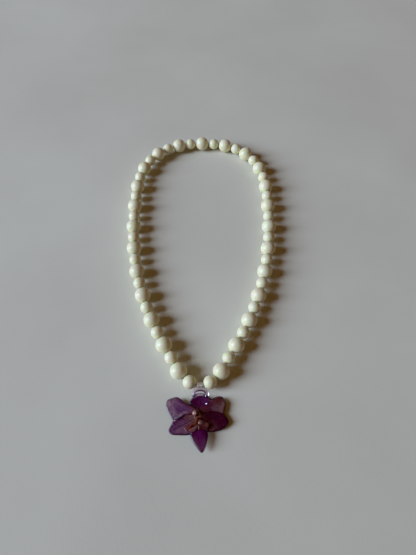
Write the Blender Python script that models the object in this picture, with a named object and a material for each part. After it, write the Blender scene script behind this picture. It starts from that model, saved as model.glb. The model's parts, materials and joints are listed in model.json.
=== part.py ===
"""A strung bead lei with an orchid cast in clear resin, laid flat on a surface.

Metres, +Z up. X runs across the loop and Y from the pendant to the back of the neck.
The surface is Z = 0, and the loop's middle line is X = 0.
"""
import math

import bmesh
import bpy
from mathutils import Matrix, Vector

MM = 0.001
SHARP_ANGLE = math.radians(50.0)
MERGE_DISTANCE = 0.001 * MM

# Beads and thread
LARGE_BEAD = 14.0 * MM
SMALL_BEAD = 11.0 * MM
BEAD_BORE = 2.0 * MM
BEADS_A_SIDE = 25
BEAD_COUNT = 2 * BEADS_A_SIDE + 1
BEAD_GAP = 0.4 * MM
LARGE_BEAD_SIDES = 12
SMALL_BEAD_SIDES = 10
BEAD_ARC_STEPS = 6
THREAD = 1.0 * MM
THREAD_HEIGHT = LARGE_BEAD / 2

# Outline of the strand: two sides that part like a hanging chain, and a rounded back
LOOP_HALF_WIDTH = 67.0 * MM
SHOULDER_Y = 79.4 * MM
FRONT_REACH = 203.0 * MM
FRONT_POWER = 2.5
BACK_POWER = 2.5
BACK_DEPTH_RANGE = (40.0 * MM, 120.0 * MM)
BACK_SWEEP = math.radians(117.0)
OUTLINE_STEPS = 500
HALVINGS = 40

# Bail: a short tube on the thread, above a hoop
TUBE_Y = -113.6 * MM
TUBE_LENGTH = 4.8 * MM
TUBE_DIAMETER = 4.2 * MM
TUBE_BORE = 1.8 * MM
TUBE_GAP = 0.8 * MM
FIRST_BEAD_RISE = math.radians(24.0)
FIRST_BEND_GAP = 1.2 * MM
HOOP_CENTRE = Vector((0.5 * MM, -121.0 * MM, 4.5 * MM))
HOOP_RADIUS = 4.8 * MM
HOOP_BAR = 2.0 * MM
HOOP_TILT = math.radians(19.0)
ROUND_SIDES = 16
HOOP_SIDES = 8

# Flower and the resin round it
FLOWER_CENTRE = Vector((-0.8 * MM, -137.6 * MM, 0.0))
TEPAL_THICKNESS = 0.9 * MM
RIM_SHARE = 0.6
FIT_GAP = 0.32 * MM
COAT = 0.75 * MM
STALK_RADIUS = 1.5 * MM
STALK_CUT_Z = 0.35 * MM
RECEPTACLE_RADIUS = 3.0 * MM
RECEPTACLE_Z = (1.9 * MM, 4.2 * MM)
RECEPTACLE_FLARE = 0.6 * MM
PAD_RADIUS = 8.0 * MM
PAD_TOP = 1.6 * MM
PORT_DEPTH = 1.0 * MM
CURVE_STEPS = 3
BLADE_RINGS = (1.0, 0.62, 0.3)

# Each tepal: outline round the flower's centre, tip, heights at base and tip, cup, in mm
TEPALS = {
    "dorsal_sepal": {
        "outline": [(-2.8, 1.5), (-6.1, 11.0), (-4.0, 14.5), (-0.3, 16.3), (4.7, 15.7),
                    (9.0, 12.8), (3.2, 1.5)],
        "tip": (1.0, 16.3), "base_z": 2.3, "tip_z": 2.6, "cup": 0.3},
    "lower_left_sepal": {
        "outline": [(-1.0, 1.5), (-12.0, 1.5), (-18.3, -2.2), (-20.0, -5.8), (-22.0, -10.0),
                    (-19.6, -12.0), (-10.0, -12.3), (-4.4, -11.2), (0.0, -3.0)],
        "tip": (-21.8, -10.8), "base_z": 2.3, "tip_z": 2.5, "cup": 0.3},
    "upper_right_petal": {
        "outline": [(0.0, -1.0), (1.5, 3.5), (10.2, 12.2), (14.0, 14.6), (17.8, 14.8),
                    (20.7, 10.2), (18.4, 3.0), (9.0, -1.5)],
        "tip": (20.5, 12.5), "base_z": 2.4, "tip_z": 3.6, "cup": 0.4},
    "upper_left_petal": {
        "outline": [(1.5, 3.5), (-6.9, 9.3), (-16.8, 14.5), (-23.8, 12.4), (-24.2, 7.3),
                    (-18.6, -2.0), (-11.6, 1.5), (-5.7, 2.7), (0.0, 1.4)],
        "tip": (-24.6, 9.8), "base_z": 3.6, "tip_z": 3.9, "cup": 0.5},
    "lower_right_sepal": {
        "outline": [(-1.0, 1.0), (6.0, 3.4), (13.0, 3.9), (19.0, 2.0), (22.7, -3.6),
                    (18.0, -8.3), (11.0, -10.1), (4.4, -9.4), (-1.0, -3.0)],
        "tip": (22.8, -3.8), "base_z": 3.7, "tip_z": 3.4, "cup": -0.4},
}
LIP_LOBES = {
    "mid_lobe": {
        "outline": [(-1.4, -1.8), (-4.2, -10.5), (-5.0, -14.5), (-2.4, -19.2), (2.7, -25.2),
                    (5.2, -20.0), (6.4, -12.6), (1.8, -1.8)],
        "tip": (2.7, -25.2), "base_z": 5.0, "tip_z": 5.3, "cup": -0.8},
    "left_lobe": {
        "outline": [(0.5, -4.4), (-5.0, -4.6), (-9.6, -7.2), (-8.6, -10.2), (-3.0, -9.0)],
        "tip": (-9.6, -8.8), "base_z": 5.0, "tip_z": 6.0, "cup": 0.5},
    "right_lobe": {
        "outline": [(-0.5, -4.4), (4.4, -3.6), (7.4, -5.8), (6.4, -8.8), (1.0, -9.0)],
        "tip": (7.4, -7.2), "base_z": 5.0, "tip_z": 6.2, "cup": 0.5},
}
CREST_CENTRE = FLOWER_CENTRE + Vector((2.4 * MM, -4.6 * MM, 0.0))
CREST_PROFILE = [(2.0, 5.0), (2.1, 5.9), (1.5, 6.8), (0.6, 7.1)]
COLUMN_PATH = [(-1.5, 1.8, 4.55), (-1.9, 2.2, 5.9), (-2.3, 2.3, 7.0), (-2.6, 1.9, 7.9)]
COLUMN_RADII = [1.5, 1.8, 2.0, 1.5]
COLUMN_CAP_SHARE = 0.8
COLUMN_SIDES = 10


def clear_scene():
    for old in list(bpy.data.objects):
        bpy.data.objects.remove(old)


def principled(name, colour, roughness, transmission=0.0):
    material = bpy.data.materials.new(name)
    material.use_nodes = True
    shader = material.node_tree.nodes["Principled BSDF"]
    shader.inputs["Base Color"].default_value = (*colour, 1.0)
    shader.inputs["Roughness"].default_value = roughness
    shader.inputs["Metallic"].default_value = 0.0
    shader.inputs["Transmission Weight"].default_value = transmission
    return material


def add_object(name, mesh, material):
    if not mesh.materials:
        mesh.materials.append(material)
    made = bpy.data.objects.new(name, mesh)
    bpy.context.scene.collection.objects.link(made)
    return made


def mesh_from(name, bm):
    bmesh.ops.recalc_face_normals(bm, faces=bm.faces)
    mesh = bpy.data.meshes.new(name)
    bm.to_mesh(mesh)
    bm.free()
    mesh.shade_smooth()
    mesh.set_sharp_from_angle(angle=SHARP_ANGLE)
    return mesh


def spun_mesh(name, profile, axis, sides, closed=True):
    """A body turned round an axis. A profile with both ends on the axis stays open."""
    bm = bmesh.new()
    ring = [bm.verts.new(point) for point in profile]
    edges = [bm.edges.new(pair) for pair in zip(ring, ring[1:])]
    if closed:
        edges.append(bm.edges.new((ring[-1], ring[0])))
    bmesh.ops.spin(bm, geom=ring + edges, cent=(0, 0, 0), axis=axis,
                   angle=2 * math.pi, steps=sides, use_merge=True)
    bmesh.ops.remove_doubles(bm, verts=bm.verts, dist=MERGE_DISTANCE)
    return mesh_from(name, bm)


# Beads

def bead_mesh(name, diameter, sides):
    """A round bead drilled along X, with a row of corners at its lowest line."""
    radius = diameter / 2
    mouth = math.asin(BEAD_BORE / 2 / radius)
    turns = [mouth + (math.pi - 2 * mouth) * i / BEAD_ARC_STEPS for i in range(BEAD_ARC_STEPS + 1)]
    profile = [(-radius * math.cos(a), 0.0, -radius * math.sin(a)) for a in turns]
    return spun_mesh(name, profile, (1, 0, 0), sides)


def bead_diameter(number):
    """Small and large beads take turns, with a small one on each side of the bail."""
    return SMALL_BEAD if number % 2 else LARGE_BEAD


def half_outline(back_depth):
    """Right half of the strand's outline, from the pendant's end to just past the back."""
    points = []
    for i in range(1, OUTLINE_STEPS):
        share = 1.0 - i / OUTLINE_STEPS
        half_width = LOOP_HALF_WIDTH * (1.0 - share ** FRONT_POWER)
        points.append(Vector((half_width, SHOULDER_Y - FRONT_REACH * share)))
    for i in range(OUTLINE_STEPS):
        turn = BACK_SWEEP * i / OUTLINE_STEPS
        across = math.copysign(abs(math.cos(turn)) ** (2 / BACK_POWER), math.cos(turn))
        along = math.sin(turn) ** (2 / BACK_POWER)
        points.append(Vector((LOOP_HALF_WIDTH * across, SHOULDER_Y + back_depth * along)))
    return points


def next_on_outline(points, start, here, step):
    """The first outline point, past number start, that lies a step away from here."""
    for i in range(start, len(points)):
        if (points[i] - here).length >= step:
            low, high = points[i - 1], points[i]
            for _ in range(HALVINGS):
                middle = (low + high) / 2
                if (middle - here).length < step:
                    low = middle
                else:
                    high = middle
            return i, high
    raise ValueError("the outline is too short for its beads")


def room_at(joint):
    """Half the gap at a bend of the thread, wider where it bends most beside the bail."""
    nearest = min(joint, BEAD_COUNT - joint)
    if nearest == 0:
        return TUBE_GAP / 2
    if nearest == 1:
        return FIRST_BEND_GAP / 2
    return BEAD_GAP / 2


def pitch(number):
    """Length of thread that a bead takes up, from bend to bend."""
    return room_at(number - 1) + bead_diameter(number) + room_at(number)


def half_joints(back_depth):
    """Bends of the thread down the right side, one at each end of every bead."""
    tube_end = Vector((TUBE_LENGTH / 2 + room_at(0), TUBE_Y))
    rise = Vector((math.cos(FIRST_BEAD_RISE), math.sin(FIRST_BEAD_RISE)))
    joints = [tube_end, tube_end + pitch(1) * rise]
    outline = half_outline(back_depth)
    found = next(i for i, point in enumerate(outline) if point.y > joints[-1].y)
    for number in range(2, BEADS_A_SIDE + 1):
        found, joint = next_on_outline(outline, found, joints[-1], pitch(number))
        joints.append(joint)
    return joints


def strand_joints():
    """All bends round the loop. The back is as deep as the last bead needs to close it."""
    low, high = BACK_DEPTH_RANGE
    for _ in range(HALVINGS):
        middle = (low + high) / 2
        if half_joints(middle)[-1].x < pitch(BEADS_A_SIDE + 1) / 2:
            low = middle
        else:
            high = middle
    right = half_joints(high)
    left = [Vector((-joint.x, joint.y)) for joint in reversed(right)]
    return right + left


def make_beads(joints):
    material = principled("bead_cream", (0.84, 0.79, 0.62), 0.34)
    large = bead_mesh("large_bead", LARGE_BEAD, LARGE_BEAD_SIDES)
    small = bead_mesh("small_bead", SMALL_BEAD, SMALL_BEAD_SIDES)
    for number in range(1, BEAD_COUNT + 1):
        before, after = joints[number - 1], joints[number]
        along = (after - before).normalized()
        centre = before + along * (room_at(number - 1) + bead_diameter(number) / 2)
        mesh = small if number % 2 else large
        bead = add_object(f"bead_{number:02d}", mesh, material)
        bead.location = (centre.x, centre.y, THREAD_HEIGHT)
        bead.rotation_euler = (0.0, 0.0, math.atan2(along.y, along.x))


def make_thread(joints):
    """A closed thread, straight inside each bead and bent between them."""
    curve = bpy.data.curves.new("strand_thread", "CURVE")
    curve.dimensions = "3D"
    curve.twist_mode = "Z_UP"
    curve.bevel_depth = THREAD / 2
    curve.bevel_resolution = 2
    spline = curve.splines.new("POLY")
    spline.points.add(len(joints) - 1)
    for point, joint in zip(spline.points, joints):
        point.co = (joint.x, joint.y, THREAD_HEIGHT, 1.0)
    spline.use_cyclic_u = True
    curve.materials.append(principled("thread_nylon", (0.80, 0.77, 0.68), 0.45))
    made = bpy.data.objects.new("strand_thread", curve)
    bpy.context.scene.collection.objects.link(made)


# Flower and resin

def evaluated_copy(made):
    graph = bpy.context.evaluated_depsgraph_get()
    return bpy.data.meshes.new_from_object(made.evaluated_get(graph))


def combine(name, meshes, operation, material):
    """One body from several closed ones: the first, joined with or cut by all the others."""
    base = bpy.data.objects.new(name, meshes[0])
    bpy.context.scene.collection.objects.link(base)
    group = bpy.data.collections.new(name + "_parts")
    bpy.context.scene.collection.children.link(group)
    for mesh in meshes[1:]:
        group.objects.link(bpy.data.objects.new(name + "_part", mesh))
    boolean = base.modifiers.new("combine", "BOOLEAN")
    boolean.operation = operation
    boolean.operand_type = "COLLECTION"
    boolean.collection = group
    boolean.solver = "MANIFOLD"
    result = evaluated_copy(base)
    for old in list(group.objects) + [base]:
        bpy.data.objects.remove(old)
    bpy.data.collections.remove(group)
    result.materials.clear()
    result.materials.append(material)
    return result


def smooth_outline(points):
    """A closed curve through an outline's points, in metres, round the flower's centre."""
    count = len(points)
    smooth = []
    for i in range(count):
        a, b, c, d = (Vector(points[(i + k) % count]) for k in (-1, 0, 1, 2))
        for step in range(CURVE_STEPS):
            t = step / CURVE_STEPS
            smooth.append(MM * 0.5 * (2 * b + (c - a) * t + (2 * a - 5 * b + 4 * c - d) * t ** 2
                                      + (3 * b - a - 3 * c + d) * t ** 3))
    return smooth


def grown_outline(points, grow):
    """The outline moved outward by a distance, along the normal at each point."""
    area = sum(points[i - 1].cross(points[i]) for i in range(len(points)))
    turn = math.copysign(1.0, area)
    grown = []
    for i, point in enumerate(points):
        along = (points[(i + 1) % len(points)] - points[i - 1]).normalized()
        grown.append(point + turn * grow * Vector((along.y, -along.x)))
    return grown


def blade_height(petal, x, y):
    """Height of a petal's middle surface: base to tip, with its edges cupped up or down."""
    tip = Vector(petal["tip"]) * MM
    reach = tip.length
    along = (x * tip.x + y * tip.y) / reach ** 2
    across = (x * tip.y - y * tip.x) / reach ** 2
    base_z, tip_z, cup = petal["base_z"] * MM, petal["tip_z"] * MM, petal["cup"] * MM
    return base_z + (tip_z - base_z) * along + 4 * cup * across ** 2


def blade_mesh(petal, grow):
    """A thin closed petal with a softened rim, moved out on every side by a distance."""
    rim = grown_outline(smooth_outline(petal["outline"]), grow)
    hub = sum(rim, Vector((0.0, 0.0))) / len(rim)
    half = TEPAL_THICKNESS / 2 + grow
    bm = bmesh.new()
    faces = []
    for side in (1, -1):
        rings = []
        for share in BLADE_RINGS:
            ring = []
            for point in rim:
                x, y = hub + (point - hub) * share
                rise = half * (RIM_SHARE if share == 1.0 else 1.0)
                ring.append(bm.verts.new((x, y, blade_height(petal, x, y) + side * rise)))
            rings.append(ring)
        middle = bm.verts.new((hub.x, hub.y, blade_height(petal, hub.x, hub.y) + side * half))
        faces.append((rings, middle))
    count = len(rim)
    for rings, middle in faces:
        for outer, inner in zip(rings, rings[1:]):
            for i in range(count):
                j = (i + 1) % count
                bm.faces.new((outer[i], outer[j], inner[j]))
                bm.faces.new((outer[i], inner[j], inner[i]))
        for i in range(count):
            bm.faces.new((rings[-1][i], rings[-1][(i + 1) % count], middle))
    top, bottom = faces[0][0][0], faces[1][0][0]
    for i in range(count):
        j = (i + 1) % count
        bm.faces.new((top[i], bottom[i], bottom[j]))
        bm.faces.new((top[i], bottom[j], top[j]))
    bmesh.ops.translate(bm, verts=bm.verts, vec=FLOWER_CENTRE)
    return mesh_from("blade", bm)


def turned_mesh(profile, sides, centre):
    """A closed body turned round an upright axis, from radius and height pairs."""
    points = [(0.0, 0.0, profile[0][1])]
    points += [(radius, 0.0, z) for radius, z in profile]
    points.append((0.0, 0.0, profile[-1][1]))
    mesh = spun_mesh("turned", points, (0, 0, 1), sides, closed=False)
    mesh.transform(Matrix.Translation(centre))
    return mesh


def stalk_mesh(grow, cut_z):
    """Cut stalk and the swelling above it, which carries every tepal's base."""
    low, high = RECEPTACLE_Z
    profile = [(STALK_RADIUS + grow, cut_z), (STALK_RADIUS + grow, low - grow),
               (RECEPTACLE_RADIUS + grow, low + RECEPTACLE_FLARE - grow),
               (RECEPTACLE_RADIUS + grow, high + grow)]
    return turned_mesh(profile, COLUMN_SIDES, FLOWER_CENTRE)


def crest_mesh(grow):
    """The round crest at the heart of the lip, to the right of the column."""
    profile = [(radius * MM + grow, z * MM) for radius, z in CREST_PROFILE]
    profile[0] = (profile[0][0], profile[0][1] - grow)
    profile[-1] = (profile[-1][0], profile[-1][1] + grow)
    return turned_mesh(profile, COLUMN_SIDES, CREST_CENTRE)


def column_mesh(grow):
    """The flower's column: a short rod that leans forward, thickest under its cap."""
    path = [Vector(point) * MM + FLOWER_CENTRE for point in COLUMN_PATH]
    path[0] = path[0] - Vector((0, 0, grow))
    path[-1] = path[-1] + grow * (path[-1] - path[-2]).normalized()
    bm = bmesh.new()
    rings = []
    for i, (point, radius) in enumerate(zip(path, COLUMN_RADII)):
        along = Vector((0, 0, 1)) if i == 0 else (point - path[i - 1]).normalized()
        turn = Vector((0, 0, 1)).rotation_difference(along).to_matrix()
        ring = []
        for k in range(COLUMN_SIDES):
            angle = 2 * math.pi * k / COLUMN_SIDES
            spoke = Vector((math.cos(angle), math.sin(angle), 0)) * (radius * MM + grow)
            ring.append(bm.verts.new(point + turn @ spoke))
        rings.append(ring)
    tip = bm.verts.new(path[-1] + along * (COLUMN_CAP_SHARE * COLUMN_RADII[-1] * MM + grow))
    for lower, upper in zip(rings, rings[1:]):
        for k in range(COLUMN_SIDES):
            j = (k + 1) % COLUMN_SIDES
            bm.faces.new((lower[k], lower[j], upper[j]))
            bm.faces.new((lower[k], upper[j], upper[k]))
    for k in range(COLUMN_SIDES):
        bm.faces.new((rings[-1][k], rings[-1][(k + 1) % COLUMN_SIDES], tip))
    bm.faces.new(list(reversed(rings[0])))
    return mesh_from("column", bm)


def tube_mesh(radius, length):
    """A rod along X round the thread's line through the bail."""
    profile = [(radius, -length / 2), (radius, length / 2)]
    mesh = turned_mesh(profile, ROUND_SIDES, Vector((0, 0, 0)))
    mesh.transform(Matrix.Rotation(math.radians(90.0), 4, "Y"))
    mesh.transform(Matrix.Translation((0.0, TUBE_Y, THREAD_HEIGHT)))
    return mesh


def hoop_mesh():
    """A flat-lying ring that tilts down from the bail's tube to the flower."""
    bar = HOOP_BAR / 2
    profile = []
    for k in range(HOOP_SIDES):
        angle = 2 * math.pi * (k + 0.5) / HOOP_SIDES
        profile.append((HOOP_RADIUS + bar * math.cos(angle), 0.0, bar * math.sin(angle)))
    mesh = spun_mesh("hoop", profile, (0, 0, 1), 2 * ROUND_SIDES)
    mesh.transform(Matrix.Translation(HOOP_CENTRE) @ Matrix.Rotation(HOOP_TILT, 4, "X"))
    return mesh


def pad_mesh():
    """The flat spot ground on the back, on which the pendant lies."""
    profile = [(PAD_RADIUS, 0.0), (PAD_RADIUS, PAD_TOP)]
    return turned_mesh(profile, 2 * ROUND_SIDES, FLOWER_CENTRE)


def flower_meshes(grow):
    """Every piece of the flower, moved out on all sides by a distance."""
    blades = [blade_mesh(petal, grow) for petal in list(TEPALS.values()) + list(LIP_LOBES.values())]
    return blades + [crest_mesh(grow), column_mesh(grow)]


def make_flower():
    tepal_violet = principled("tepal_violet", (0.075, 0.012, 0.105), 0.38)
    lip_magenta = principled("lip_magenta", (0.105, 0.006, 0.085), 0.36)
    column_blush = principled("column_blush", (0.42, 0.20, 0.20), 0.40)
    tepals = [stalk_mesh(0.0, STALK_CUT_Z)] + [blade_mesh(petal, 0.0) for petal in TEPALS.values()]
    lobes = [blade_mesh(petal, 0.0) for petal in LIP_LOBES.values()] + [crest_mesh(0.0)]
    add_object("orchid_tepals", combine("orchid_tepals", tepals, "UNION", tepal_violet), tepal_violet)
    add_object("orchid_lip", combine("orchid_lip", lobes, "UNION", lip_magenta), lip_magenta)
    add_object("orchid_column", column_mesh(0.0), column_blush)


def make_resin():
    """The clear coat, with its bail, hollowed by the flower and open where its stalk is cut."""
    resin = principled("resin_clear", (0.93, 0.92, 0.95), 0.05, transmission=0.95)
    bail = [hoop_mesh(), tube_mesh(TUBE_DIAMETER / 2, TUBE_LENGTH)]
    solids = flower_meshes(FIT_GAP + COAT) + [pad_mesh()] + bail
    hollows = flower_meshes(FIT_GAP) + [stalk_mesh(FIT_GAP, -PORT_DEPTH)]
    outside = combine("resin_outside", solids, "UNION", resin)
    inside = combine("resin_inside", hollows, "UNION", resin)
    bore = tube_mesh(TUBE_BORE / 2, 2 * TUBE_LENGTH)
    coat = combine("resin_coat", [outside, inside, bore], "DIFFERENCE", resin)
    add_object("resin_coat", coat, resin)


def main():
    clear_scene()
    joints = strand_joints()
    make_beads(joints)
    make_thread(joints)
    make_flower()
    make_resin()


main()
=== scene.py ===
"""Looks of the bead lei: drilled cream beads, twisted thread, and an orchid in clear resin."""
import json
import math

import bmesh
import bpy
from mathutils import Matrix, Vector, bvhtree, kdtree, noise


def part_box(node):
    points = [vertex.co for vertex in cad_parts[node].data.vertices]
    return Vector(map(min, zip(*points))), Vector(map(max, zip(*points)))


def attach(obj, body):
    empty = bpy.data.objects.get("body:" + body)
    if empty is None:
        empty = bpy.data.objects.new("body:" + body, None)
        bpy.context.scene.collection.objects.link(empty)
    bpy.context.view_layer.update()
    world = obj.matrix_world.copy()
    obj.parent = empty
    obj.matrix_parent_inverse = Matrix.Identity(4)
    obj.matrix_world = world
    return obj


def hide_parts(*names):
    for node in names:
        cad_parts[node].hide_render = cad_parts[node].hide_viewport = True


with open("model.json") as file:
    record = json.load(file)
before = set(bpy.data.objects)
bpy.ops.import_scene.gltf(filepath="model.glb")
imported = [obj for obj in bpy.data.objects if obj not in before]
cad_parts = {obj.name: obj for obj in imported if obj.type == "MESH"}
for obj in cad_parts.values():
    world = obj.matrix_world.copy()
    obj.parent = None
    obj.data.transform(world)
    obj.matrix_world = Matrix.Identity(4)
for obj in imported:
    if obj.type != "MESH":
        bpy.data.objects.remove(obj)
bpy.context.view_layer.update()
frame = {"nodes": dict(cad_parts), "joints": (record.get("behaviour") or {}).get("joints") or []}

MM = 0.001
UP = Vector((0.0, 0.0, 1.0))
SWING = frame["joints"][0]
TUBE_MIDDLE = Vector(SWING["pos_m"])

# Photograph and camera: a phone's wide lens, close to the lei, looking down past its pendant
PHOTO_HEIGHT = 555
FOCAL_PIXELS = 430.0
CAMERA_ELEVATION = math.radians(60.0)
CAMERA_DISTANCE = 400.0 * MM
CAMERA_TARGET = Vector((6.5 * MM, -10.6 * MM, 0.0))
SENSOR = 36.0
CLIP_START = 0.01

# Light and floor
KEY_DIRECTION = Vector((-0.87, -0.14, 0.47))
KEY_DISTANCE = 8.0
KEY_SIZE = (3.1, 4.3)
KEY_POWER = 880.0
KEY_COLOUR = (0.625, 0.765, 1.0)
FILL_COLOUR = (1.0, 0.54, 0.16)
FILL_STRENGTH = 0.105
BACKDROP = (0.385, 0.39, 0.38)
BLACK_LEVEL = (0.0030, 0.0035, 0.0025)
FLOOR_SIZE = 3.4
FLOOR_DROP = -0.05 * MM
FLOOR_DARK = (0.68, 0.645, 0.535)
FLOOR_PALE = (0.74, 0.71, 0.59)

# Beads
BEAD_COUNT = 51
BEAD_BORE = 2.0 * MM
BEAD_SIDES = 72
BEAD_RINGS = 40
BEAD_LIP = 0.35 * MM
BEAD_LIP_DEPTH = 0.9
BEAD_LIP_STEPS = 5
BEAD_SEED_STEP = 7.3
BUMP_SIZE = 4.0 * MM
BUMP_DEPTH = 0.06 * MM
LONG_EDGE_SHARE = 0.8
SHARP_ANGLE = math.radians(40.0)

# Thread: its plies and their twist, and the room between the bail's tube and the next bead
PLY_COUNT = 3
PLY_RADIUS = 0.255 * MM
PLY_OFFSET = 0.24 * MM
PLY_TURN = 2.6 * MM
PLY_STEP = 0.33 * MM
PLY_SIDES = 6
TUBE_ROOM = 0.4 * MM

# Petals: their outlines, thickness and rims, then their veins and unevenness
FLOWER_CENTRE = Vector((-0.8 * MM, -137.6 * MM, 0.0))
CORNER_EASE = 0.30
WIDTH_STATIONS = 80
PETAL_STEPS = 22
PETAL_RINGS = 26
RING_CROWDING = 1.25
PETAL_SPREAD = 0.25 * MM
PETAL_THICKNESS = 0.50 * MM
EDGE_SHARE = 0.45
EDGE_ROUNDING = 4.0
INSET_REACH = 3.0 * MM
FRAY_SIZE = 2.2 * MM
FRAY_DEPTH = 0.22 * MM
RUFFLE_SIZE = 3.2 * MM
RUFFLE_DEPTH = 0.38 * MM
WAVE_SIZE = 7.0 * MM
WAVE_DEPTH = 0.30 * MM
VEIN_LINES = (-0.78, -0.52, -0.26, 0.0, 0.26, 0.52, 0.78)
VEIN_WIDTH = 0.05
VEIN_DEPTH = 0.12 * MM
VEIN_SPREAD = 0.45
VEIN_FADE = 0.6
VEIN_START = 2.5

# Stalk, crest, column, cap and keels: profiles and paths in millimetres from the flower's centre
STALK_RADIUS = 1.5 * MM
STALK_PROFILE = [(1.38, 0.35), (1.5, 0.45), (1.5, 1.6), (1.725, 1.9), (2.79, 2.4), (3.0, 2.8),
                 (2.91, 3.9), (2.4, 4.2)]
CREST_CENTRE = Vector((2.4 * MM, -4.6 * MM, 0.0))
CREST_PROFILE = [(2.0, 5.0), (2.1, 5.9), (1.5, 6.8), (0.6, 7.1)]
CREST_RINGS = 20
CREST_SHARE = 0.94
CREST_LEAST = 0.1
CREST_GROOVE = 0.26
CREST_GROOVE_WIDTH = 0.45 * MM
CREST_GROOVE_REACH = 2.0 * MM
CREST_RIBS = 7
CREST_RIB_DEPTH = 0.06
CREST_LUMPS = 0.12
CREST_LUMP_SIZE = 0.7 * MM
COLUMN_PATH = [(-1.5, 1.8, 4.0), (-1.9, 2.2, 5.9), (-2.3, 2.3, 7.0), (-2.6, 1.9, 7.9)]
COLUMN_RADII = [1.3, 1.4, 1.5, 1.25]
COLUMN_SIDES = 40
COLUMN_RINGS = 30
COLUMN_BODY_RINGS = 12
COLUMN_END_RINGS = 1 / 3
COLUMN_STRIDE = 0.02
COLUMN_LUMPS = 0.05
COLUMN_LUMP_SIZE = 1.2 * MM
CAP_FACING = Vector((-0.22, 0.10, 0.97))
CAP_REACH = math.radians(62.0)
CAP_RINGS = 16
CAP_RING_START = 0.3
CAP_INSIDE = 0.8
CAP_RISE = 0.42 * MM
CAP_GROOVE = 0.28 * MM
CAP_GROOVE_DEPTH = 0.6
KEEL_STEPS = 72
KEEL_SIDES = 16
KEEL_TAPER = (0.06, 0.88, 0.6)
KEEL_FLATNESS = 0.7
KEEL_LUMPS = 0.22
KEEL_LUMP_SIZE = 0.9 * MM

# Resin: the coat over each form, its pad, port, tube and hoop, and swellings in millimetres
FIT_GAP = 0.32 * MM
COAT = 0.75 * MM
BLADE_THICKNESS = 0.9 * MM
RIM_SHARE = 0.6
BODY_STEPS = 8
BODY_SHARES = (0.3, 0.62, 0.85, 1.0)
ROUND_SIDES = 24
BORE_SIDES = 48
POOL_DIVISIONS = 3
RESIN_VOXEL = 0.28 * MM
RESIN_SMOOTHING = 10
EASE = 0.5
CLEAN_DISTANCE = 0.002 * MM
PAD_RADIUS = 8.0 * MM
PAD_TOP = 1.6 * MM
PORT_TOP = 0.6 * MM
TUBE_LENGTH = 4.8 * MM
TUBE_DIAMETER = 4.2 * MM
TUBE_BORE = 1.8 * MM
HOOP_CENTRE = Vector((0.5 * MM, -121.0 * MM, 4.5 * MM))
HOOP_PLACE = Matrix.Translation(HOOP_CENTRE) @ Matrix.Rotation(math.radians(19.0), 4, "X")
HOOP_STEPS = 64
HOOP_RADIUS = 4.4 * MM
HOOP_STRETCH = 1.15
HOOP_SQUARENESS = 0.72
HOOP_BAR_WIDTH = 2.8 * MM
HOOP_BAR_HEIGHT = 2.3 * MM
SWING_GAP = 0.34 * MM
SWING_STEPS = 20
SWING_EASE = 4
POOLS = [((10.2, 10.6, 3.2), (5.6, 3.0, 2.5)), ((-12.0, 0.2, 3.4), (3.6, 1.5, 2.0)),
         ((-4.6, -10.2, 4.4), (1.6, 1.5, 1.8)), ((9.4, -9.6, 3.4), (2.0, 1.3, 1.6)),
         ((0.9, 16.6, 3.0), (4.6, 2.4, 1.4)), ((-18.3, -1.6, 3.2), (1.5, 1.5, 1.5))]

# Colours of the resin, how far its painted refraction and its haze reach, and rims that stay pale
# Painted refraction: lilac to dark purple painted into the clear resin inside the hoop and in the rims
# beyond the petals, where the resin would refract the petals' colour
RESIN_TINT = (0.97, 0.955, 0.965)
LILAC_TINT = (0.62, 0.42, 0.62)
PAINTED_REFRACTION_TINT = (0.07, 0.012, 0.060)
HAZE_AND_HIGHLIGHT_TINT = (0.99, 0.91, 0.80)
PAINTED_REFRACTION_ROUGHNESS = 0.30
HOOP_PAINTED_REFRACTION = 0.88
HOOP_PAINTED_REFRACTION_LEAST = 0.35
HOOP_PAINTED_REFRACTION_MIDDLE = 0.55
HOOP_REACH = 1.5
HOOP_CLOUD = 0.38
TUBE_REACH = 0.55 * TUBE_DIAMETER
# Haze of the tube, growing towards its left end, which faces the key light: partly sanded frost, partly a
# painted highlight
TUBE_HAZE_AND_HIGHLIGHT = (0.25, 0.75)
RIM_PAINTED_REFRACTION = 1.0
RIM_PAINTED_REFRACTION_LEAST = 0.3
RIM_START = 0.35 * MM
RIM_END = (1.6 * MM, 2.6 * MM)
PALE_RIMS = [((21.5, 6.0, 3.0), 8.0, 0.15), ((1.6, 17.4, 3.0), 6.0, 0.40)]

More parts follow.
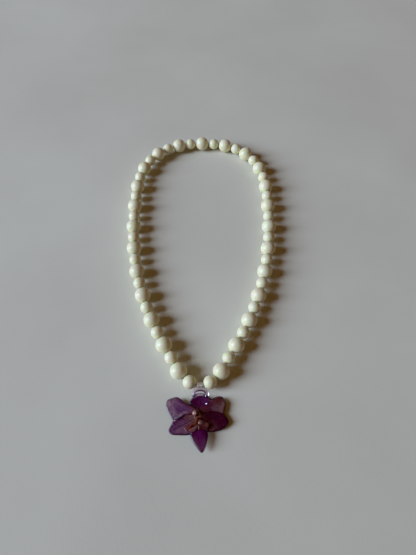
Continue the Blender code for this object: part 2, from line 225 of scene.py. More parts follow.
# Colours of the petals: round the heart, over the blade, where it is thin, veins, rim and tip
VIOLET = dict(
    heart=(0.085, 0.012, 0.020), blade=(0.115, 0.016, 0.090), window=(0.27, 0.14, 0.24),
    vein=(0.050, 0.003, 0.046), rim=(0.040, 0.001, 0.026), tip=(0.070, 0.006, 0.040),
    heart_to=0.45, tip_from=0.80,
    window_at=(0.55, 0.10), window_size=(0.41, 1.07), window_share=0.85, seed=1.0,
    patches=[],
    rib=(0.035, 0.001, 0.022), rib_side=0.0, rib_width=0.10, rib_share=0.6,
    rib_end=0.85)
TEPALS = dict(
    dorsal_sepal=dict(
        outline=[(-2.8, 1.5), (-6.1, 11.0), (-4.0, 14.5), (-0.3, 16.3), (4.7, 15.7),
            (9.0, 12.8), (3.2, 1.5)],
        tip=(1.0, 16.3), base_z=2.3, tip_z=2.6, cup=0.3,
        palette=dict(VIOLET, blade=(0.074, 0.001, 0.030), window=(0.150, 0.018, 0.082),
            heart=(0.21, 0.045, 0.032), heart_to=0.56, window_at=(0.72, 0.45),
            patches=[((0.125, 0.022, 0.145), (0.84, 0.45), (0.26, 0.6), 0.7)],
            window_share=0.9, seed=2.0)),
    lower_left_sepal=dict(
        outline=[(-1.0, 2.4), (-6.0, 4.0), (-12.2, 3.0), (-18.3, -2.2), (-20.0, -5.8), (-22.0, -10.0),
            (-19.6, -12.0), (-10.0, -12.3), (-4.4, -11.2), (0.0, -3.0)],
        tip=(-21.8, -10.8), base_z=2.3, tip_z=2.5, cup=0.3,
        palette=dict(VIOLET, heart=(0.36, 0.185, 0.105), blade=(0.155, 0.018, 0.098),
            window=(0.36, 0.18, 0.24), window_at=(0.66, -0.35), tip=(0.20, 0.07, 0.15),
            patches=[((0.150, 0.040, 0.160), (0.80, 0.10), (0.25, 0.55), 0.65)],
            seed=3.0)),
    upper_right_petal=dict(
        outline=[(0.0, -1.0), (1.5, 3.5), (10.2, 12.2), (14.0, 14.6), (17.8, 14.8),
            (20.7, 10.2), (18.4, 3.0), (9.0, -1.5)],
        tip=(20.5, 12.5), base_z=2.4, tip_z=3.6, cup=0.4,
        palette=dict(VIOLET, heart=(0.16, 0.034, 0.014), blade=(0.072, 0.005, 0.024),
            window=(0.30, 0.17, 0.15), window_at=(0.84, 0.30), window_size=(0.42, 1.25),
            window_share=0.88, tip=(0.110, 0.008, 0.005), tip_from=0.84,
            patches=[((0.110, 0.022, 0.014), (0.98, -0.60), (0.48, 1.00), 1.0)],
            rib_share=0.2, rim=(0.070, 0.004, 0.009),
            seed=4.0)),
    upper_left_petal=dict(
        outline=[(1.5, 3.5), (-5.6, 7.8), (-9.0, 8.8), (-12.2, 11.0), (-17.2, 14.2), (-23.8, 12.2),
            (-24.2, 7.3), (-18.6, -2.0), (-11.6, 1.5), (-5.7, 2.7), (0.0, 1.4)],
        tip=(-24.6, 9.8), base_z=3.6, tip_z=3.9, cup=0.5,
        palette=dict(VIOLET, heart=(0.24, 0.055, 0.020), blade=(0.190, 0.030, 0.130),
            heart_to=0.50, window=(0.49, 0.29, 0.38), tip=(0.50, 0.33, 0.30),
            window_at=(0.70, -0.30), window_size=(0.52, 1.25), window_share=1.0,
            patches=[((0.150, 0.032, 0.165), (0.54, 0.14), (0.34, 0.65), 0.85),
            # Painted highlight: a pale lilac patch at the lower corner stands in for a glint of the key
            # light on the resin
            ((0.52, 0.43, 0.52), (0.56, -0.80), (0.15, 0.30), 0.9)],
            rib_share=0.3, seed=5.0)),
    lower_right_sepal=dict(
        outline=[(-1.0, 1.0), (6.0, 3.4), (13.0, 3.9), (19.0, 2.0), (22.7, -3.6),
            (18.0, -8.3), (11.0, -10.1), (4.4, -9.4), (-1.0, -3.0)],
        tip=(22.8, -3.8), base_z=3.7, tip_z=3.4, cup=-0.4,
        palette=dict(VIOLET, heart=(0.19, 0.048, 0.030), blade=(0.062, 0.0010, 0.020),
            heart_to=0.36,
            window=(0.19, 0.060, 0.064), window_at=(0.38, 0.70), window_size=(0.34, 0.95),
            window_share=1.0,
            vein=(0.036, 0.0003, 0.010), rim=(0.042, 0.0003, 0.012),
            tip=(0.050, 0.001, 0.014), rib=(0.022, 0.0003, 0.006), rib_side=-0.55,
            rib_width=0.55, rib_share=0.6, rib_end=0.72, seed=6.0)),
)
MAGENTA = dict(
    heart=(0.045, 0.0006, 0.001), heart_to=0.46,
    blade=(0.070, 0.0005, 0.030), window=(0.150, 0.006, 0.105),
    vein=(0.036, 0.0003, 0.016), rim=(0.050, 0.0005, 0.024), tip=(0.44, 0.22, 0.22),
    tip_from=0.56, window_at=(0.70, -0.1), window_size=(0.41, 1.07),
    window_share=0.9, seed=7.0,
    patches=[((0.12, 0.008, 0.13), (0.78, 0.10), (0.24, 0.60), 0.5)],
    rib=(0.13, 0.010, 0.002), rib_side=0.05, rib_width=0.16, rib_share=0.7,
    rib_end=0.38)
MAUVE = dict(
    MAGENTA, heart=(0.18, 0.052, 0.018), blade=(0.17, 0.050, 0.048),
    vein=(0.100, 0.020, 0.022), window=(0.34, 0.150, 0.145), window_at=(0.70, -0.7),
    window_share=1.0, rim=(0.17, 0.045, 0.065), tip=(0.16, 0.035, 0.040), tip_from=0.80,
    patches=[], rib=(0.20, 0.035, 0.010), rib_width=0.42, rib_share=0.45,
    rib_end=0.90)
LIP_LOBES = dict(
    lip_mid_lobe=dict(
        outline=[(-1.4, -1.8), (-4.2, -10.5), (-5.0, -14.5), (-2.4, -19.2), (2.7, -25.2),
            (5.2, -20.0), (6.4, -12.6), (1.8, -1.8)],
        tip=(2.7, -25.2), base_z=5.0, tip_z=5.3, cup=-0.8,
        palette=MAGENTA),
    lip_left_lobe=dict(
        outline=[(0.5, -4.4), (-5.0, -4.6), (-9.6, -7.2), (-8.5, -10.9), (-3.0, -10.6)],
        tip=(-9.6, -8.8), base_z=5.0, tip_z=6.0, cup=0.5,
        palette=dict(MAUVE, seed=8.0)),
    lip_right_lobe=dict(
        outline=[(-0.5, -4.4), (4.4, -3.6), (7.4, -5.8), (6.4, -8.8), (1.0, -9.0)],
        tip=(7.4, -7.2), base_z=5.0, tip_z=6.2, cup=0.5,
        palette=dict(MAUVE, blade=(0.105, 0.014, 0.014), heart=(0.050, 0.002, 0.002),
            window=(0.16, 0.065, 0.050), vein=(0.060, 0.003, 0.006),
            rim=(0.070, 0.006, 0.010), tip=(0.11, 0.022, 0.020),
            rib_share=0.0, seed=9.0)),
)

KEELS = dict(
    lip_left_keel=dict(
        lobe="lip_left_lobe", half_width=0.90, rise=(0.30, 0.30),
        path=[(-9.0, -9.6), (-6.6, -8.6), (-4.5, -7.4), (-2.7, -5.9), (-1.7, -3.8), (-1.2, -1.4)],
        colours=[(0.04, (0.24, 0.050, 0.010)), (0.22, (0.20, 0.022, 0.003)),
            (0.33, (0.030, 0.0010, 0.0008)), (0.46, (0.030, 0.0010, 0.0008)),
            (0.56, (0.25, 0.055, 0.004)), (0.76, (0.20, 0.050, 0.006)),
            (0.96, (0.23, 0.090, 0.030))]),
    lip_middle_keel=dict(
        lobe="lip_mid_lobe", half_width=0.55, rise=(1.15, 0.30),
        path=[(1.5, -5.2), (1.0, -6.6), (0.8, -8.2), (0.8, -10.2)],
        colours=[(0.10, (0.15, 0.016, 0.002)), (0.60, (0.27, 0.032, 0.003)),
            (0.95, (0.12, 0.008, 0.003))]),
)
PETALS = {**TEPALS, **LIP_LOBES}
FLOWER_NODES = {"tepal": "orchid_tepals", "lip": "orchid_lip", "column": "orchid_column"}


def link(name, data):
    """A new object in the scene, made of a mesh, a lamp or a camera."""
    made = bpy.data.objects.new(name, data)
    bpy.context.scene.collection.objects.link(made)
    return made


def add_piece(name, mesh, material, body, node, place=(0.0, 0.0, 0.0)):
    """A visible piece with its material, riding on a body in place of a node."""
    made = link(name, mesh)
    made.location = place
    mesh.materials.clear()
    mesh.materials.append(material)
    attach(made, body)
    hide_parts(node)


def add_flower_piece(bm, name, material, slot):
    """A piece of the flower, built round the flower's centre, moved to its place."""
    bmesh.ops.translate(bm, verts=bm.verts, vec=FLOWER_CENTRE)
    mesh = finished_mesh(bm, name)
    add_piece(name, mesh, material, "pendant", FLOWER_NODES[slot])
    return mesh


# Camera, floor and light

def add_camera():
    data = bpy.data.cameras.new("camera")
    data.sensor_fit = "VERTICAL"
    data.sensor_height = SENSOR
    data.lens = FOCAL_PIXELS / PHOTO_HEIGHT * SENSOR
    data.clip_start = CLIP_START
    camera = link("camera", data)
    reach = Vector((0.0, -math.cos(CAMERA_ELEVATION), math.sin(CAMERA_ELEVATION)))
    camera.location = CAMERA_TARGET + CAMERA_DISTANCE * reach
    camera.rotation_euler = (math.pi / 2 - CAMERA_ELEVATION, 0.0, 0.0)
    bpy.context.scene.camera = camera


def add_key_light():
    data = bpy.data.lights.new("soft_key", "AREA")
    data.shape = "RECTANGLE"
    data.size, data.size_y = KEY_SIZE
    data.energy = KEY_POWER
    data.color = KEY_COLOUR
    lamp = link("soft_key", data)
    lamp.location = KEY_DISTANCE * KEY_DIRECTION.normalized()
    lamp.rotation_euler = (-lamp.location).to_track_quat("-Z", "Y").to_euler()


def add_world():
    """A dim warm fill from all round, with a plain grey backdrop behind the floor."""
    world = bpy.data.worlds.new("studio")
    paint = Paint(world)
    fill = paint.tree.nodes["Background"]
    paint.feed_named(fill, {"Color": FILL_COLOUR, "Strength": FILL_STRENGTH})
    backdrop = paint.add("Background", Color=BACKDROP)
    path = paint.add("LightPath").outputs
    seen = paint.math("MAXIMUM", path["Is Camera Ray"], path["Is Transmission Ray"])
    paint.show("World Output", seen, fill, backdrop)
    bpy.context.scene.world = world


def add_floor():
    mesh = bpy.data.meshes.new("floor")
    half = FLOOR_SIZE / 2
    corners = [(-half, -half, 0), (half, -half, 0), (half, half, 0), (-half, half, 0)]
    mesh.from_pydata(corners, [], [(0, 1, 2, 3)])
    mesh.materials.append(floor_material())
    floor = link("floor", mesh)
    floor.location.z = FLOOR_DROP


def add_studio():
    add_floor()
    add_key_light()
    add_world()
    view = bpy.context.scene.view_settings
    view.view_transform = "Standard"
    view.use_curve_mapping = True
    view.curve_mapping.black_level = BLACK_LEVEL
    view.curve_mapping.update()
    add_camera()


# Shader nodes

class Paint:
    """The nodes of a material or world. Each input is a value, or the socket that feeds it."""

    def __init__(self, owner):
        owner.use_nodes = True
        self.owner = owner
        self.tree = owner.node_tree
        self.shader = self.tree.nodes.get("Principled BSDF")
        self.place = None

    def feed(self, socket, value):
        if isinstance(value, bpy.types.NodeSocket):
            self.tree.links.new(value, socket)
        elif isinstance(value, tuple) and len(value) == 3 and len(socket.default_value) == 4:
            socket.default_value = (*value, 1.0)
        else:
            socket.default_value = value

    def feed_named(self, node, values):
        for key, value in values.items():
            self.feed(node.inputs[key.replace("_", " ")], value)

    def add(self, kind, settings=None, *ordered, **named):
        """A node with its settings, and its inputs in order or by name."""
        made = self.tree.nodes.new("ShaderNode" + kind)
        for key, value in (settings or {}).items():
            setattr(made, key, value)
        for socket, value in zip(made.inputs, ordered):
            self.feed(socket, value)
        self.feed_named(made, named)
        return made

    def math(self, operation, first, second=0.0):
        return self.add("Math", {"operation": operation}, first, second).outputs[0]

    def plus(self, first, second):
        return self.math("ADD", first, second)

    def times(self, first, second):
        return self.math("MULTIPLY", first, second)

    def away(self, value, middle):
        """How far a value is from a middle one, on either side."""
        return self.math("ABSOLUTE", self.math("SUBTRACT", value, middle))

    def rescaled(self, value, low, high, new_low, new_high, interpolation="LINEAR"):
        """A value moved from one range to another, and held inside the new one."""
        settings = {"interpolation_type": interpolation}
        return self.add("MapRange", settings, value, low, high, new_low, new_high).outputs[0]

    def noise(self, scale, detail=2.0, roughness=0.5, place=None):
        """Noise at a point's place on its piece, or at another place."""
        made = self.add("TexNoise", Vector=place or self.place, Scale=scale, Detail=detail,
                        Roughness=roughness)
        return made.outputs["Fac"]

    def stored(self, name):
        """A value that is stored in the mesh."""
        return self.add("Attribute", {"attribute_name": name}).outputs["Fac"]

    def oval(self, along, side, middle, half_sizes, share):
        """How much of a colour an oval patch of a petal gets: its share inside, fading to none."""
        reach = []
        for value, centre, half in zip((along, side), middle, half_sizes):
            off = self.math("DIVIDE", self.math("SUBTRACT", value, centre), half)
            reach.append(self.times(off, off))
        return self.rescaled(self.plus(*reach), 0.0, 1.0, share, 0.0, "SMOOTHSTEP")

    def ramp(self, share, *stops):
        """A colour that changes with a share, from pairs of a position and a colour."""
        made = self.add("ValToRGB", None, share)
        marks = made.color_ramp.elements
        while len(marks) < len(stops):
            marks.new(0.5)
        for mark, (position, colour) in zip(marks, stops):
            mark.position = position
            mark.color = (*colour, 1.0)
        return made.outputs[0]

    def mix(self, colour, *layers):
        """A colour with others laid over it in turn, each by its share."""
        for share, tint in layers:
            made = self.add("Mix", {"data_type": "RGBA"}, share)
            self.feed(made.inputs[6], colour)
            self.feed(made.inputs[7], tint)
            colour = made.outputs[2]
        return colour

    def show(self, output, share, first, second):
        """Send a mix of two shaders to the output node."""
        mixed = self.add("MixShader", None, share, first.outputs[0], second.outputs[0])
        self.feed(self.tree.nodes[output].inputs["Surface"], mixed.outputs[0])

    def finish(self, colour, roughness, height, strength, distance, subsurface=None, **even):
        """The finished material. Its subsurface is a weight, a radius for each colour and a scale."""
        bump = self.add("Bump", Height=height, Strength=strength, Distance=distance)
        values = {"Base Color": colour, "Roughness": roughness, "Normal": bump.outputs["Normal"]}
        if subsurface:
            keys = ("Subsurface Weight", "Subsurface Radius", "Subsurface Scale")
            values.update(zip(keys, subsurface))
        self.feed_named(self.shader, {**values, **even})
        return self.owner


def new_paint(name):
    """The nodes of a new material, with where a point is on its piece, in metres."""
    paint = Paint(bpy.data.materials.new(name))
    paint.place = paint.add("TexCoord").outputs["Object"]
    return paint


# Materials

def bead_material():
    """Polished cream bead: soft mottling, faint layers, fine scuffs, and a stained bore."""
    paint = new_paint("bead_cream")
    chance = paint.add("ObjectInfo").outputs["Random"]
    paint.place = paint.add("VectorMath", {"operation": "ADD"}, paint.place, chance).outputs[0]
    drift = paint.add("TexNoise", Vector=paint.place, Scale=90.0).outputs["Color"]
    warp = paint.add("VectorMath", {"operation": "MULTIPLY_ADD"}, drift, 3 * (0.004,), paint.place)
    layers = paint.add("TexWave", {"wave_type": "RINGS", "rings_direction": "X"},
                       Vector=warp.outputs[0], Scale=260.0, Distortion=2.5, Detail=2.0)
    clouds = paint.ramp(paint.noise(150.0, 3.0), (0.30, (0.81, 0.770, 0.500)),
                        (0.52, (0.85, 0.820, 0.565)), (0.75, (0.88, 0.855, 0.625)))
    specks = paint.noise(900.0, 2.0)
    colour = paint.mix(
        clouds,
        (paint.rescaled(layers.outputs["Fac"], 0.0, 1.0, 0.0, 0.09), (0.74, 0.66, 0.46)),
        (paint.rescaled(chance, 0.0, 1.0, 0.0, 0.16), (0.80, 0.71, 0.50)),
        (paint.rescaled(specks, 0.70, 0.76, 0.0, 0.30), (0.62, 0.53, 0.36)),
        (paint.rescaled(paint.stored("from_bore"), 0.0, 1.1, 0.85, 0.0), (0.50, 0.39, 0.22)))
    wear = paint.rescaled(paint.noise(420.0, 4.0, 0.6), 0.3, 0.75, 0.36, 0.54)
    return paint.finish(colour, wear, paint.noise(2600.0, 3.0), 0.12, 0.03 * MM,
                        (0.55, (1.0, 0.56, 0.12), 3.0 * MM), Coat_Weight=0.12, Coat_Roughness=0.22)


def thread_material():
    """Twisted cream nylon, darker in fine random flecks along its fibres."""
    paint = new_paint("thread_nylon")
    fibre = paint.noise(5200.0, 4.0)
    colour = paint.ramp(fibre, (0.3, (0.55, 0.49, 0.36)), (0.6, (0.78, 0.74, 0.62)))
    return paint.finish(colour, paint.rescaled(fibre, 0.3, 0.7, 0.40, 0.62), fibre, 0.4, 0.05 * MM,
                        (0.2, (1.0, 0.8, 0.5), 0.4 * MM))


def floor_material():
    """Plain pale plaster, with only a faint unevenness."""
    paint = new_paint("floor_pale")
    colour = paint.ramp(paint.noise(6.0, 4.0), (0.35, FLOOR_DARK), (0.65, FLOOR_PALE))
    return paint.finish(colour, 0.85, paint.noise(420.0, 6.0, 0.6), 0.10, 0.6 * MM)


def petal_material(name, palette):
    """A petal pressed in resin: veined and mottled, paler where it is thin, dark at its rim."""
    paint = new_paint(name)
    along, side, inset = (paint.stored(key) for key in ("along", "side", "inset"))
    clouds = paint.noise(260.0, 4.0, 0.6)
    bruises = paint.noise(520.0, 3.0, 0.55)
    flecks = paint.noise(1000.0, 3.0, 0.6)
    cells = paint.noise(2400.0, 2.0)
    grain = paint.add("CombineXYZ", None, paint.times(side, 13.0), paint.times(along, 1.6), palette["seed"])
    streaks = paint.noise(1.0, 3.0, 0.6, grain.outputs[0])
    lines = paint.rescaled(paint.away(streaks, 0.5), 0.0, 0.05, 1.0, 0.0)
    drift = paint.rescaled(clouds, 0.2, 0.8, -0.16, 0.16)
    moved = paint.plus(along, drift)
    thin = paint.times(paint.oval(moved, side, palette["window_at"], palette["window_size"],
                                  palette["window_share"]),
                       paint.rescaled(clouds, 0.3, 0.62, 0.55, 1.0))
    edge = paint.plus(inset, paint.times(drift, 1.4))
    off_rib = paint.away(paint.plus(side, paint.times(drift, 0.8)), palette["rib_side"])
    width, end = palette["rib_width"], palette["rib_end"]
    rib = paint.times(paint.rescaled(off_rib, 0.4 * width, width, palette["rib_share"], 0.0),
                      paint.rescaled(moved, end - 0.15, end + 0.1, 1.0, 0.0))
    vein, rim, window = palette["vein"], palette["rim"], palette["window"]
    colour = paint.mix(
        paint.ramp(moved, (palette["heart_to"] - 0.3, palette["heart"]),
                   (palette["heart_to"], palette["blade"]), (palette["tip_from"], palette["blade"]),
                   (0.97, palette["tip"])),
        (thin, window),
        *((paint.oval(moved, side, *patch), tint) for tint, *patch in palette["patches"]),
        (paint.times(lines, 0.32), vein),
        (paint.rescaled(streaks, 0.35, 0.65, 0.0, 0.35), rim),
        (paint.rescaled(bruises, 0.50, 0.66, 0.0, 0.55), vein),
        (paint.rescaled(flecks, 0.53, 0.65, 0.0, 0.55), rim),
        (paint.rescaled(flecks, 0.47, 0.35, 0.0, 0.32), window),
        (paint.rescaled(cells, 0.58, 0.70, 0.0, 0.10), window),
        (paint.rescaled(edge, 0.02, 0.34, 0.74, 0.0), rim),
        (rib, palette["rib"]))
    relief = paint.plus(paint.times(streaks, 0.8), paint.times(cells, 0.2))
    return paint.finish(colour, paint.rescaled(streaks, 0.3, 0.7, 0.42, 0.60), relief, 0.55, 0.16 * MM,
                        (0.20, (1.0, 0.25, 0.8), 0.5 * MM), Specular_IOR_Level=0.08)


def column_material():
    """The column: blush, paler towards its cap, and orange-brown down its right side, away from the key
    light: partly its own colour, partly painted shade.
    """
    paint = new_paint("column_blush")
    clouds = paint.noise(700.0, 3.0)
    moved = paint.plus(paint.stored("along"), paint.rescaled(clouds, 0.2, 0.8, -0.12, 0.12))
    blush = paint.ramp(moved, (0.0, (0.14, 0.022, 0.014)), (0.35, (0.19, 0.064, 0.046)),
                       (0.62, (0.27, 0.125, 0.096)), (0.95, (0.37, 0.185, 0.145)))
    # Painted shade: the right side, away from the key light, turns orange-brown; partly the column's own
    # colour
    orange_and_shade = paint.plus(paint.stored("side"), paint.rescaled(clouds, 0.2, 0.8, -0.3, 0.3))
    colour = paint.mix(blush, (paint.rescaled(orange_and_shade, 0.15, 0.75, 0.0, 0.9), (0.11, 0.022, 0.004)))
    return paint.finish(colour, paint.rescaled(clouds, 0.3, 0.7, 0.32, 0.5),
                        paint.noise(2600.0, 3.0), 0.4, 0.08 * MM, (0.3, (1.0, 0.5, 0.4), 0.8 * MM))


def cap_material():
    """The column's cap: pale and waxy, flushed pink, and brown in its groove."""
    paint = new_paint("cap_blush")
    clouds = paint.noise(1100.0, 3.0)
    colour = paint.mix(paint.ramp(clouds, (0.35, (0.54, 0.31, 0.24)), (0.62, (0.80, 0.55, 0.45))),
                       (paint.stored("groove"), (0.16, 0.040, 0.020)))
    return paint.finish(colour, paint.rescaled(clouds, 0.3, 0.7, 0.34, 0.5), clouds, 0.3, 0.06 * MM,
                        (0.25, (1.0, 0.5, 0.4), 0.5 * MM))


def keel_material(stops):
    """A raised keel of the lip, spotted dark red and orange along its length."""
    paint = new_paint("keel_orange")
    clouds = paint.noise(1000.0, 3.0)
    moved = paint.plus(paint.stored("along"), paint.rescaled(clouds, 0.25, 0.75, -0.07, 0.07))
    specks = paint.rescaled(paint.noise(2300.0, 2.0), 0.55, 0.65, 0.0, 0.35)
    colour = paint.mix(paint.ramp(moved, *stops), (specks, (0.045, 0.002, 0.001)))
    return paint.finish(colour, paint.rescaled(clouds, 0.3, 0.7, 0.40, 0.6), clouds, 0.4, 0.08 * MM,
                        Specular_IOR_Level=0.15)


def stalk_material():
    """The stalk: green at its cut, flushed orange-brown where it swells in the flower's heart."""
    paint = new_paint("stalk_green")
    fibres = paint.noise(1500.0, 4.0)
    green = paint.ramp(fibres, (0.35, (0.10, 0.085, 0.030)), (0.65, (0.20, 0.16, 0.070)))
    flush = paint.ramp(fibres, (0.35, (0.085, 0.010, 0.002)), (0.65, (0.20, 0.040, 0.004)))
    height = paint.add("SeparateXYZ", None, paint.place).outputs["Z"]
    colour = paint.mix(green, (paint.rescaled(height, 1.4 * MM, 2.4 * MM, 0.0, 1.0), flush))
    return paint.finish(colour, paint.rescaled(fibres, 0.3, 0.7, 0.45, 0.65), fibres, 0.5, 0.1 * MM)


def callus_material():
    """The lip's crest: waxy orange-brown on its left, dark red on its right side away from the key light:
    partly its own red, partly painted shade.
    """
    paint = new_paint("callus_orange")
    clouds = paint.noise(900.0, 4.0, 0.6)
    across = paint.add("SeparateXYZ", None, paint.place).outputs["X"]
    crest_x = FLOWER_CENTRE.x + CREST_CENTRE.x
    # Painted shade: the side away from the key light turns dark red; partly the crest's own red
    rightward = paint.rescaled(across, crest_x - 1.6 * MM, crest_x + 0.9 * MM, 0.0, 1.0)
    orange = paint.ramp(clouds, (0.36, (0.11, 0.016, 0.003)), (0.62, (0.22, 0.070, 0.020)))
    red = paint.ramp(clouds, (0.36, (0.030, 0.0006, 0.0010)), (0.62, (0.090, 0.006, 0.008)))
    return paint.finish(paint.mix(orange, (rightward, red)), paint.rescaled(clouds, 0.3, 0.7, 0.28, 0.5),
                        clouds, 0.5, 0.12 * MM, Subsurface_Weight=0.25, Subsurface_Scale=0.6 * MM)


def resin_material():
    """Clear cast resin, a little uneven, that lets the light reach the flower inside it."""
    paint = new_paint("resin_clear")
    painted_refraction, haze_and_highlight = paint.stored("painted_refraction"), paint.stored("haze_and_highlight")
    # Painted refraction: lilac to dark purple where the resin would refract the petals' colour, and made
    # rougher there
    tint = paint.ramp(painted_refraction, (0.0, RESIN_TINT), (0.45, LILAC_TINT), (1.0, PAINTED_REFRACTION_TINT))
    swirl = paint.noise(160.0, 3.0)
    # Haze whitens the resin and lets less light through; on the tube's left end it is partly a painted
    # highlight
    haze_and_highlight_share = paint.times(haze_and_highlight, paint.rescaled(swirl, 0.3, 0.7, 0.6, 1.0))
    haze = paint.plus(paint.rescaled(swirl, 0.3, 0.7, 0.04, 0.11), paint.times(haze_and_highlight_share, 0.22))
    haze = paint.plus(haze, paint.times(painted_refraction, PAINTED_REFRACTION_ROUGHNESS))
    made = paint.finish(paint.mix(tint, (haze_and_highlight, HAZE_AND_HIGHLIGHT_TINT)), haze, paint.noise(420.0, 2.0), 0.12,
                        0.25 * MM, Transmission_Weight=paint.rescaled(haze_and_highlight_share, 0.0, 1.0, 1.0, 0.58), IOR=1.49)
    path = paint.add("LightPath").outputs
    lit_through = paint.math("MAXIMUM", path["Is Shadow Ray"], path["Is Diffuse Ray"])
    clear = paint.add("BsdfTransparent", Color=(0.90, 0.89, 0.90))
    paint.show("Material Output", lit_through, paint.shader, clear)
    return made


# Mesh helpers

def turns(count):
    """The cosine and sine of even turns round a circle."""
    angles = [2 * math.pi * k / count for k in range(count)]
    return [(math.cos(angle), math.sin(angle)) for angle in angles]


def mean(points):
    return sum(points[1:], points[0].copy()) / len(points)


def new_bmesh(*stored):
    """A mesh under construction, with room for the values that its material reads."""
    bm = bmesh.new()
    for key in stored:
        bm.verts.layers.float.new(key)
    return bm


def new_vert(bm, point, **stored):
    """A corner with its stored values."""
    vert = bm.verts.new(point)
    for key, value in stored.items():
        vert[bm.verts.layers.float[key]] = value
    return vert


def bridge(bm, rings):
    """Faces between each ring of corners and the next."""
    for before, after in zip(rings, rings[1:]):
        for k in range(len(before)):
            j = (k + 1) % len(before)
            bm.faces.new((before[k], before[j], after[j], after[k]))


def loft(bm, rings):
    """Faces between rings of corners, closed at both ends."""
    bridge(bm, rings)
    bm.faces.new(rings[0][::-1])
    bm.faces.new(rings[-1])


def add_closed(bm, rings):
    loft(bm, [[bm.verts.new(point) for point in ring] for ring in rings])


def finished_mesh(bm, name):
    """What was built, as a smooth mesh with its faces outward."""
    bmesh.ops.recalc_face_normals(bm, faces=bm.faces)
    mesh = bpy.data.meshes.new(name)
    bm.to_mesh(mesh)
    bm.free()
    mesh.shade_smooth()
    return mesh


# Beads and thread

def bead_axis(node, towards):
    """Unit direction of a bead's bore, found from the long edges that run through it."""
    mesh = frame["nodes"][node].data
    low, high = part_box(node)
    total = Vector()
    for edge in mesh.edges:
        span = mesh.vertices[edge.vertices[1]].co - mesh.vertices[edge.vertices[0]].co
        if span.length > LONG_EDGE_SHARE * (high.z - low.z):
            total += span if span.dot(towards) > 0 else -span
    total.z = 0.0
    return total.normalized()


def read_beads():
    """Node, centre, bore direction and radius of every bead, in order round the strand."""
    names = [f"bead_{number:02d}" for number in range(1, BEAD_COUNT + 1)]
    boxes = [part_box(name) for name in names]
    centres = [(low + high) / 2 for low, high in boxes]
    beads = []
    for i, (low, high) in enumerate(boxes):
        towards = centres[min(i + 1, BEAD_COUNT - 1)] - centres[max(i - 1, 0)]
        beads.append((names[i], centres[i], bead_axis(names[i], towards), (high.z - low.z) / 2))
    return beads


def bead_mesh(name, radius, seed):
    """A drilled bead along X: eased bore mouths, and the slight unevenness of a ground bead."""
    mouth = math.asin((BEAD_BORE / 2 + BEAD_LIP) / radius)
    bore_end = radius * math.cos(mouth) - BEAD_LIP
    profile = [(-bore_end, BEAD_BORE / 2)]
    for step in range(1, BEAD_LIP_STEPS):
        turn = math.pi / 2 * step / BEAD_LIP_STEPS
        profile.append((-bore_end - BEAD_LIP * math.sin(turn) * BEAD_LIP_DEPTH,
                        BEAD_BORE / 2 + BEAD_LIP * (1 - math.cos(turn))))
    for step in range(BEAD_RINGS + 1):
        turn = mouth + (math.pi - 2 * mouth) * step / BEAD_RINGS
        profile.append((-radius * math.cos(turn), radius * math.sin(turn)))
    profile += [(-x, r) for x, r in reversed(profile[:BEAD_LIP_STEPS])]
    bm = new_bmesh("from_bore")
    rings = []
    for x, r in profile:
        ring = []
        for cosine, sine in turns(BEAD_SIDES):
            point = Vector((x, r * cosine, r * sine))
            if r > BEAD_BORE:
                drift = noise.noise(point / BUMP_SIZE + Vector((seed, 0.0, 0.0)))
                point *= 1.0 - BUMP_DEPTH / radius * (0.5 + 0.5 * drift)
            ring.append(new_vert(bm, point, from_bore=(r - BEAD_BORE / 2) / MM))
        rings.append(ring)
    bridge(bm, rings[-1:] + rings)
    mesh = finished_mesh(bm, name)
    mesh.set_sharp_from_angle(angle=SHARP_ANGLE)
    return mesh


def add_beads(beads):
    material = bead_material()
    for number, (node, centre, axis, radius) in enumerate(beads, 1):
        mesh = bead_mesh("drilled_" + node, radius, BEAD_SEED_STEP * number)
        mesh.transform(Matrix.Rotation(math.atan2(axis.y, axis.x), 4, "Z"))
        add_piece("drilled_" + node, mesh, material, "strand", node, centre)


def thread_route(beads):
    """Bends of the thread: one in each gap, and one at each end of the bail's tube."""
    first, last = beads[0], beads[-1]
    route = [first[1] - first[2] * (first[3] + TUBE_ROOM)]
    for here, after in zip(beads, beads[1:]):
        room = ((after[1] - here[1]).length - here[3] - after[3]) / 2
        leaves = here[1] + here[2] * (here[3] + room)
        enters = after[1] - after[2] * (after[3] + room)
        route.append((leaves + enters) / 2)
    route.append(last[1] + last[2] * (last[3] + TUBE_ROOM))
    return route


def evenly_spaced(route, step):
    """Points a step apart round the closed route, with its bends eased, and its length."""
    spans = [(b - a).length for a, b in zip(route, route[1:] + route[:1])]
    total = sum(spans)
    count = round(total / step)
    points = []
    index, passed = 0, 0.0
    for i in range(count):
        here = total * i / count
        while here > passed + spans[index]:
            passed += spans[index]
            index += 1
        share = (here - passed) / spans[index]
        points.append(route[index].lerp(route[(index + 1) % len(route)], share))
    near = [[points[(i + k) % count] for k in (-2, -1, 0, 1, 2)] for i in range(count)]
    return [mean(five) for five in near], total


def add_thread(beads):
    """Three plies twisted round each other, closed round the whole strand."""
    points, total = evenly_spaced(thread_route(beads), PLY_STEP)
    count = len(points)
    twists = round(total / PLY_TURN)
    bm = bmesh.new()
    for ply in range(PLY_COUNT):
        rings = []
        for i, point in enumerate(points):
            along = (points[(i + 1) % count] - points[i - 1]).normalized()
            across = Vector((-along.y, along.x, 0.0))
            turn = 2 * math.pi * (twists * i / count + ply / PLY_COUNT)
            middle = point + PLY_OFFSET * (math.cos(turn) * across + math.sin(turn) * UP)
            rings.append([bm.verts.new(middle + PLY_RADIUS * (cosine * across + sine * UP))
                          for cosine, sine in turns(PLY_SIDES)])
        bridge(bm, rings[-1:] + rings)
    mesh = finished_mesh(bm, "twisted_thread")
    add_piece("twisted_thread", mesh, thread_material(), "strand", "strand_thread")


# Flower

